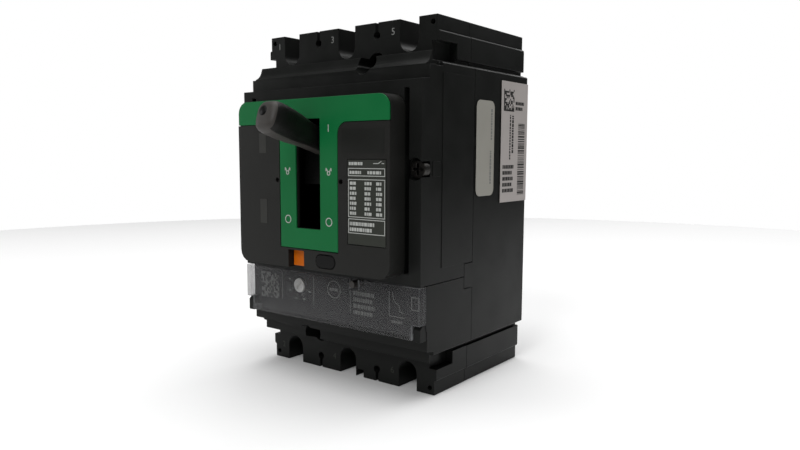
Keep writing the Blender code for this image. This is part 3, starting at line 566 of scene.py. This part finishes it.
class BREAKER_OT_side_labels(bpy.types.Operator):
    """Finish the two side labels and print their generic bars, code square and lines"""
    bl_idname = "breaker.side_labels"
    bl_label = "Side labels"

    def execute(self, context):
        for node, film in (("side_label_grey", "grey_film"), ("side_label_white", "white_film")):
            label = node_copy(node)
            outer = max(vert.co.x for vert in label.verts)
            for vert in label.verts:
                if vert.co.x > outer - 0.1 * MM:
                    vert.co.x -= 0.07 * MM
            round_edges(label, sharp_edges(label, 40), 0.08, 1)
            piece = finish_piece(node + "_film", label, FINISH[film], NODE_BODY[node])
            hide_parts(node)
        white = bmesh.new()
        self.code_square(white)
        self.bars(white)
        for low, high, rows, seed in (((-24.8, 5.0), (-14.0, 19.0), 5, 51),
                                      ((-13.0, 44.0), (-4.5, 49.0), 2, 52)):
            ink_words(white, seed, low, high, rows)
        self.column(white, (-18.5, 21.0), (-17.4, 42.0), 61)
        self.column(white, (-16.2, 24.0), (-14.6, 42.0), 62)
        place_print("white_label_print", white, FLANK, LABEL_PRINT_X, FINISH["black_ink"], "case")
        grey = bmesh.new()
        self.column(grey, (-36.4, 30.0), (-35.2, 44.0), 63)
        self.column(grey, (-37.0, 10.0), (-35.8, 25.0), 64)
        place_print("grey_label_print", grey, FLANK, LABEL_PRINT_X, FINISH["grey_ink"], "case")
        return {"FINISHED"}

    def code_square(self, shape):
        """A square of random cells with a solid frame on two sides."""
        dice = random.Random(7)
        cells, size = 12, 0.85
        for row in range(cells):
            for column in range(cells):
                solid = row == 0 or column == 0
                if solid or dice.random() < 0.5:
                    y = -24.6 + column * size
                    z = 43.6 + row * size
                    ink_block(shape, (y, z), (y + size * 0.96, z + size * 0.96))

    def bars(self, shape):
        """Stack of bars of random width near the rear edge of the white label."""
        dice = random.Random(8)
        z = 4.0
        while z < 38.0:
            width = dice.choice((0.25, 0.25, 0.5, 0.75))
            ink_block(shape, (-9.8, z), (-3.2, z + width))
            z += width + dice.choice((0.3, 0.3, 0.6))

    def column(self, shape, low, high, seed):
        """One line of small print that runs up the label."""
        dice = random.Random(seed)
        z = low[1]
        while z < high[1]:
            width = dice.uniform(0.5, 1.5)
            ink_block(shape, (low[0], z), (high[0], min(z + width, high[1])))
            z += width + 0.35


class BREAKER_OT_trip_print(bpy.types.Operator):
    """Print the dial scale, code square, small lines and trip curve under the clear cover"""
    bl_idname = "breaker.trip_print"
    bl_label = "Trip unit print"

    def execute(self, context):
        shape = bmesh.new()
        dice = random.Random(9)
        cells, size = 13, 0.97
        for row in range(cells):
            for column in range(cells):
                if dice.random() < 0.5:
                    x, z = -47.4 + column * size, -47.0 + row * size
                    ink_block(shape, (x, z), (x + size * 0.96, z + size * 0.96))
        for x, low, high in ((-32.4, -47.0, -33.5), (-11.5, -47.0, -33.5), (11.1, -47.6, -34.0)):
            ink_line(shape, (x, low), (x, high), 0.3)
        for angle in (-200, -155, -110, -65, -20):
            self.tick(shape, math.radians(angle))
        ink_ring(shape, (1.3, -38.0), 3.9, 0.35)
        ink_words(shape, 41, (-1.4, -39.0), (4.0, -36.9), 1)
        ink_words(shape, 42, (13.0, -48.0), (25.5, -36.5), 4)
        ink_line(shape, (33.2, -45.5), (33.2, -34.8), 0.35)
        ink_line(shape, (33.2, -45.5), (41.4, -45.5), 0.35)
        curve = ((35.0, -35.0), (35.3, -37.6), (36.6, -39.4), (38.6, -40.6), (38.8, -43.0), (40.8, -43.6))
        for start, end in zip(curve, curve[1:]):
            ink_line(shape, start, end, 0.35)
        ink_words(shape, 43, (34.5, -48.6), (40.0, -46.8), 1)
        ink_frame(shape, (44.8, -41.6), (48.8, -35.8), 0.4)
        place_print("trip_face_print", shape, FRONT, TRIP_FACE_Y, FINISH["grey_ink"], "case")
        self.film()
        return {"FINISHED"}

    def film(self):
        """Dark grey film on the trip unit's face, down to the bottom of the clear cover."""
        mesh = bpy.data.objects["trip_unit_case_skin"].data
        mesh.materials.append(FINISH["trip_film"])
        shape = bmesh.new()
        shape.from_mesh(mesh)
        front = [face for face in shape.faces if face.normal.y < -0.9]
        low = [face for face in front if abs(face.calc_center_median().y / MM - TRIP_LOW_FACE_Y) < 0.1]
        around = {item for face in low for item in (face, *face.edges, *face.verts)}
        bmesh.ops.bisect_plane(shape, geom=list(around), dist=1e-7, plane_co=(0, 0, FILM_LOW_Z * MM),
                               plane_no=(0, 0, 1))
        for face in shape.faces:
            middle = face.calc_center_median() / MM
            flush = TRIP_FACE_Y - 0.5 < middle.y < TRIP_LOW_FACE_Y + 0.1
            if face.normal.y < -0.9 and flush and FILM_LOW_Z < middle.z < FILM_TOP_Z:
                face.material_index = 1
        shape.to_mesh(mesh)
        shape.free()

    def tick(self, shape, angle):
        """One short radial tick of the dial scale, with a dot of print beyond it."""
        centre = Vector((-20.7, -38.6))
        out = Vector((math.cos(angle), math.sin(angle)))
        ink_line(shape, centre + out * 4.6, centre + out * 5.6, 0.35)
        spot = centre + out * 7.0
        ink_block(shape, (spot.x - 0.7, spot.y - 0.45), (spot.x + 0.7, spot.y + 0.45))


class BREAKER_OT_pole_numbers(bpy.types.Operator):
    """Print the pole numbers on the ends of the terminal blocks"""
    bl_idname = "breaker.pole_numbers"
    bl_label = "Pole numbers"

    def execute(self, context):
        for label, x, z in (("1", -43.5, 75.6), ("3", -8.6, 75.6), ("5", 26.4, 75.6),
                            ("2", -43.5, -73.6), ("4", -8.6, -73.6), ("6", 26.4, -73.6)):
            shape = bmesh.new()
            mesh = ink_number(label, 4.2, (x, z))
            shape.from_mesh(mesh)
            ink = FINISH["grey_ink"] if z > 0 else FINISH["dark_film"]
            place_print("pole_number_" + label, shape, FRONT, BLOCK_PRINT_Y, ink, "case")
        return {"FINISHED"}


# ---------------------------------------------------------------- front controls

HANDLE_LEAN = math.radians(-18.1)
GRIP_SQUARENESS = 0.62
PAD_REACH = (-77.6 * MM, -38.0 * MM)
SHUTTER_SWEEP = math.radians(48)


class BREAKER_OT_handle(bpy.types.Operator):
    """Model the toggle handle with its rounded grip, worn grey end and dished mark"""
    bl_idname = "breaker.handle"
    bl_label = "Toggle handle"

    def execute(self, context):
        joint = next(j for j in frame["joints"] if j["name"] == "toggle_throw")
        turn = Matrix.Translation(Vector(joint["pos_m"])) @ Matrix.Rotation(HANDLE_LEAN, 4, "X")
        grip = self.grip_shape()
        for face in grip.faces:
            middle = face.calc_center_median()
            pad = abs(face.normal.x) > 0.42 and PAD_REACH[0] < middle.y < PAD_REACH[1]
            face.material_index = 1 if pad else 0
        foot = bmesh.new()
        add_block(foot, (-11, 11), (-37, -33.2), (-7, 7))
        round_edges(foot, sharp_edges(foot, 60), 0.6, 2)
        for part in (grip, foot):
            bmesh.ops.transform(part, matrix=turn, verts=part.verts)
        piece = finish_piece("toggle_grip", grip, [FINISH["grip"], FINISH["pebbled"]], "toggle",
                             60)
        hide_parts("toggle_handle")
        # The foot's black finish also carries painted shade of the toggle slot.
        finish_piece("toggle_foot", foot, FINISH["black"], "toggle")
        self.shutter(turn)
        self.mark(turn)
        return {"FINISHED"}

    def grip_shape(self):
        """Club with a slim waist: rings of a rounded section, skinned and closed at both ends."""
        grip = bmesh.new()
        rings = []
        for reach, half_x, half_z in ((34.0, 5.3, 5.2), (46.0, 5.2, 5.1), (56.0, 5.5, 5.6),
                                      (63.0, 6.1, 6.4), (69.0, 6.45, 6.75), (74.6, 6.5, 6.8),
                                      (76.6, 6.35, 6.6), (78.0, 5.8, 6.1),
                                      (78.9, 4.9, 5.2), (79.3, 3.7, 4.0), (79.46, 2.3, 2.5)):
            made = bmesh.ops.create_circle(grip, cap_ends=False, segments=40, radius=1.0)
            for vert in made["verts"]:
                x = math.copysign(abs(vert.co.x) ** GRIP_SQUARENESS, vert.co.x) * half_x
                z = math.copysign(abs(vert.co.y) ** GRIP_SQUARENESS, vert.co.y) * half_z
                vert.co = (x * MM, -reach * MM, z * MM)
            rings.append({edge for vert in made["verts"] for edge in vert.link_edges})
        for near, far in zip(rings, rings[1:]):
            bmesh.ops.bridge_loops(grip, edges=list(near | far))
        bmesh.ops.holes_fill(grip, edges=[e for e in grip.edges if e.is_boundary], sides=0)
        bmesh.ops.recalc_face_normals(grip, faces=grip.faces)
        return grip

    def shutter(self, turn):
        """Curved dust shield that travels behind the slot, in the black finish that also carries painted shade of
        the slot.
        """
        half, far, near = 9, -43.6, -42.2
        shape = bmesh.new()
        corners = [shape.verts.new((x * MM, y * MM, 0)) for x, y in
                   ((-half, far), (half, far), (half, near), (-half, near))]
        face = shape.faces.new(corners)
        bmesh.ops.rotate(shape, cent=(0, 0, 0), matrix=Matrix.Rotation(-SHUTTER_SWEEP / 2, 3, "X"),
                         verts=corners)
        bmesh.ops.spin(shape, geom=[face], cent=(0, 0, 0), axis=(1, 0, 0), angle=SHUTTER_SWEEP, steps=16,
                       use_merge=False, use_duplicate=False)
        bmesh.ops.recalc_face_normals(shape, faces=shape.faces)
        bmesh.ops.transform(shape, matrix=turn, verts=shape.verts)
        finish_piece("toggle_shutter", shape, FINISH["black"], "toggle")

    def mark(self, turn):
        """Dark dished disc on the end of the grip, left of its middle."""
        shape = bmesh.new()
        made = bmesh.ops.create_cone(shape, cap_ends=True, segments=28, radius1=2.3 * MM, radius2=2.1 * MM,
                                     depth=0.3 * MM)
        bmesh.ops.rotate(shape, cent=(0, 0, 0), matrix=Matrix.Rotation(math.radians(90), 3, "X"),
                         verts=made["verts"])
        bmesh.ops.translate(shape, verts=made["verts"], vec=(-1.2 * MM, -79.34 * MM, 1.6 * MM))
        bmesh.ops.transform(shape, matrix=turn, verts=shape.verts)
        finish_piece("toggle_mark", shape, FINISH["black"], "toggle", 60)


class BREAKER_OT_controls(bpy.types.Operator):
    """Finish the trip button, dial, sealing stud, cover screws and clear cover"""
    bl_idname = "breaker.controls"
    bl_label = "Front controls"

    def execute(self, context):
        refine("push_to_trip_button", FINISH["orange"], 0.45, 3)
        refine("current_dial", FINISH["dial"], 0.15, 2)
        refine("seal_stud", FINISH["grip"], 0.15, 2)
        for node in ("cover_screw_left", "cover_screw_right"):
            refine(node, FINISH["screw"], 0.25, 2)
        self.clear_cover()
        return {"FINISHED"}

    def clear_cover(self):
        """Clear cover: haze on its outer face, clear inside, with a painted highlight on its cut edges."""
        shape = node_copy("clear_trip_cover")
        round_edges(shape, sharp_edges(shape, 40), 0.3, 2)
        for face in shape.faces:
            # Small side faces take the painted edge highlight; faces that look inward take the clear inside.
            edge = abs(face.normal.y) < 0.8 and face.calc_area() < 40e-6
            within = abs(face.calc_center_median().x) < 51.5 * MM
            inside = face.normal.y > 0.8 or within and face.normal.y > -0.8
            face.material_index = 1 if edge else 2 if inside else 0
        films = [FINISH["clear"], FINISH["clear_edge"], FINISH["clear_inside"]]
        piece = finish_piece("clear_cover_skin", shape, films, "clear_cover")
        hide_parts("clear_trip_cover")


# ---------------------------------------------------------------- inside

# Node names' starts, their finish, their share of the metal edge radius and its facets.
PATH_FINISHES = (("line_terminal", "tin", 1.0, 2), ("load_terminal", "tin", 1.0, 2),
                 ("line_screw", "zinc", 1.0, 2), ("load_screw", "zinc", 1.0, 2),
                 ("moving_contact", "copper", 1.0, 2), ("contact_rotor", "rotor", 1.0, 2),
                 ("arc_chute", "fibre", 0.6, 1), ("bimetal", "bimetal", 1.0, 1),
                 ("magnet_yoke", "zinc", 1.0, 2))


class BREAKER_OT_current_path(bpy.types.Operator):
    """Finish terminals, screws, contacts, rotors, arc chutes, bimetals and magnet yokes"""
    bl_idname = "breaker.current_path"
    bl_label = "Current path"

    def execute(self, context):
        edge = context.scene.breaker_mechanism.edge
        for node in sorted(frame["nodes"]):
            for start, finish, share, segments in PATH_FINISHES:
                if node.startswith(start):
                    refine(node, FINISH[finish], edge * share, segments)
        return {"FINISHED"}


class BREAKER_OT_mechanism(bpy.types.Operator):
    """Finish the mechanism's steel pieces and wind the springs"""
    bl_idname = "breaker.mechanism"
    bl_label = "Mechanism and springs"

    def execute(self, context):
        settings = context.scene.breaker_mechanism
        for node in ("mechanism_plate_left", "mechanism_plate_right", "cradle_pin", "latch_cradle",
                     "upper_link", "lower_link", "handle_yoke", "contact_shaft"):
            refine(node, FINISH["zinc"], settings.edge, 2)
        refine("trip_bar", FINISH["black"], 0.3, 2)
        for node in ("main_spring_left", "main_spring_right"):
            self.coil(node, settings.turns, settings.wire, self.spring_axis(node), 1.6)
        low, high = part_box("button_spring")
        middle = (low + high) / 2
        start = Vector((middle.x, low.y, middle.z))
        end = Vector((middle.x, high.y, middle.z))
        spring = self.coil("button_spring", 5, 0.5, (start, end), 2.7)
        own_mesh(spring)
        return {"FINISHED"}

    def spring_axis(self, node):
        """Ends of a main spring, found from its plain solid's box."""
        low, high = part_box(node)
        middle = (low.x + high.x) / 2
        rise = (high.z + low.z) / 2
        return Vector((middle, low.y, rise)), Vector((middle, high.y, rise))

    def coil(self, node, turns, wire_mm, axis, radius_mm):
        """Wind round wire between two points and stand it for the node."""
        start, end = axis
        along = end - start
        length = along.length - wire_mm * MM
        curve = bpy.data.curves.new(node + "_wire", "CURVE")
        curve.dimensions = "3D"
        curve.bevel_depth = wire_mm / 2 * MM
        curve.bevel_resolution = 2
        curve.use_fill_caps = True
        spline = curve.splines.new("POLY")
        steps = turns * 14
        spline.points.add(steps)
        radius = (radius_mm - wire_mm / 2) * MM
        face = along.to_track_quat("Z", "Y").to_matrix().to_4x4()
        for i, point in enumerate(spline.points):
            turn = 2 * math.pi * turns * i / steps
            local = Vector((radius * math.cos(turn), radius * math.sin(turn),
                            wire_mm / 2 * MM + length * i / steps))
            point.co = (*(start + face @ local), 1.0)
        holder = bpy.data.objects.new("wire", curve)
        bpy.context.scene.collection.objects.link(holder)
        bpy.context.view_layer.update()
        mesh = bpy.data.meshes.new_from_object(holder.evaluated_get(bpy.context.evaluated_depsgraph_get()))
        bpy.data.objects.remove(holder, do_unlink=True)
        shape = bmesh.new()
        shape.from_mesh(mesh)
        bmesh.ops.remove_doubles(shape, verts=shape.verts, dist=1e-7)
        piece = finish_piece(node + "_coil", shape, FINISH["spring"], NODE_BODY[node], 60)
        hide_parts(node)
        return piece


# ---------------------------------------------------------------- stage

AIM = (0.0, -0.05, 0.0)
EYE_PLACE = (0.2111, -0.3177, 0.0230)
EYE_TURN = tuple(math.radians(angle) for angle in (90 - 6.4, 0, 38.7))
EYE_SHIFT = (0.031, 0.010)
FLOOR_RADIUS, FLOOR_DROP = 0.8, 0.0002


class BREAKER_OT_stage(bpy.types.Operator):
    """Set the pale floor, soft lights, surroundings and camera"""
    bl_idname = "breaker.stage"
    bl_label = "Stage"

    def execute(self, context):
        settings = context.scene.breaker_stage
        self.floor()
        self.world()
        self.light("key_light", settings.key_power, (-1.2, -0.55, 0.25), 0.6)
        self.light("fill_light", settings.fill_power, (0.15, -1.2, 0.95), 0.6)
        self.light("top_light", settings.top_power, (0.0, 0.0, 1.3), 1.4)
        self.light("back_light", settings.back_power, (0.15, 1.1, 0.75), 0.7)
        context.scene.view_settings.view_transform = "Standard"
        self.camera(settings)
        return {"FINISHED"}

    def floor(self):
        """Round pale floor just under the object."""
        shape = bmesh.new()
        bmesh.ops.create_circle(shape, cap_ends=True, segments=96, radius=FLOOR_RADIUS)
        bmesh.ops.translate(shape, verts=shape.verts, vec=(0, 0, CAD_BOX[0][2] - FLOOR_DROP))
        mesh = bpy.data.meshes.new("floor")
        shape.to_mesh(mesh)
        shape.free()
        mat, tree, shader = new_material("pale_studio_floor")
        shader.inputs["Base Color"].default_value = srgb("f6f6f6")
        shader.inputs["Roughness"].default_value = 0.9
        mesh.materials.append(mat)
        floor = bpy.data.objects.new("floor", mesh)
        bpy.context.scene.collection.objects.link(floor)

    def world(self):
        """White surroundings to the eye, dim as a source of light."""
        world = bpy.data.worlds.new("studio")
        bpy.context.scene.world = world
        world.use_nodes = True
        tree = world.node_tree
        back = tree.nodes["Background"]
        back.inputs["Color"].default_value = srgb("ffffff")
        path = add(tree, "ShaderNodeLightPath")
        level = ramp(tree, path.outputs["Is Camera Ray"], 0.12, 1.0, 0.0, 1.0)
        tree.links.new(level, back.inputs["Strength"])

    def light(self, name, power, place, size):
        """Square soft light aimed at the object, unseen by the camera."""
        data = bpy.data.lights.new(name, "AREA")
        data.energy = power
        data.size = size
        lamp = bpy.data.objects.new(name, data)
        lamp.location = place
        lamp.rotation_euler = (Vector(AIM) - Vector(place)).to_track_quat("-Z", "Y").to_euler()
        lamp.visible_camera = False
        bpy.context.scene.collection.objects.link(lamp)

    def camera(self, settings):
        """Camera right of the front, a little above the object's middle and tipped down."""
        data = bpy.data.cameras.new("camera")
        data.sensor_width = 36.0
        data.lens = settings.lens
        data.shift_x, data.shift_y = EYE_SHIFT
        data.clip_start = 0.01
        eye = bpy.data.objects.new("camera", data)
        eye.location = EYE_PLACE
        eye.rotation_euler = EYE_TURN
        bpy.context.scene.collection.objects.link(eye)
        bpy.context.scene.camera = eye


class BREAKER_PT_panel(bpy.types.Panel):
    """Buttons and sizes of the breaker's looks"""
    bl_label = "Breaker"
    bl_idname = "BREAKER_PT_panel"
    bl_space_type = "VIEW_3D"
    bl_region_type = "UI"
    bl_category = "Breaker"

    def draw(self, context):
        for group in GROUPS:
            settings = getattr(context.scene, group)
            for key in settings.bl_rna.properties.keys():
                if key not in ("rna_type", "name"):
                    self.layout.prop(settings, key)
        for operator in STEPS:
            self.layout.operator(operator.bl_idname)


STEPS = (BREAKER_OT_finishes, BREAKER_OT_stage, BREAKER_OT_housings, BREAKER_OT_nose,
         BREAKER_OT_nose_print, BREAKER_OT_side_labels, BREAKER_OT_trip_print, BREAKER_OT_pole_numbers,
         BREAKER_OT_handle, BREAKER_OT_controls, BREAKER_OT_current_path, BREAKER_OT_mechanism)
GROUPS = {"breaker_colours": ColourSettings, "breaker_housing": HousingSettings,
          "breaker_mechanism": MechanismSettings, "breaker_stage": StageSettings}


def register():
    for cls in (*GROUPS.values(), *STEPS, BREAKER_PT_panel):
        bpy.utils.register_class(cls)
    for name, cls in GROUPS.items():
        setattr(bpy.types.Scene, name, PointerProperty(type=cls))


def unregister():
    for name in GROUPS:
        delattr(bpy.types.Scene, name)
    for cls in reversed((*GROUPS.values(), *STEPS, BREAKER_PT_panel)):
        bpy.utils.unregister_class(cls)


def main():
    register()
    for operator in STEPS:
        group, name = operator.bl_idname.split(".")
        getattr(getattr(bpy.ops, group), name)()
    bpy.context.view_layer.update()


if __name__ == "__main__":
    main()
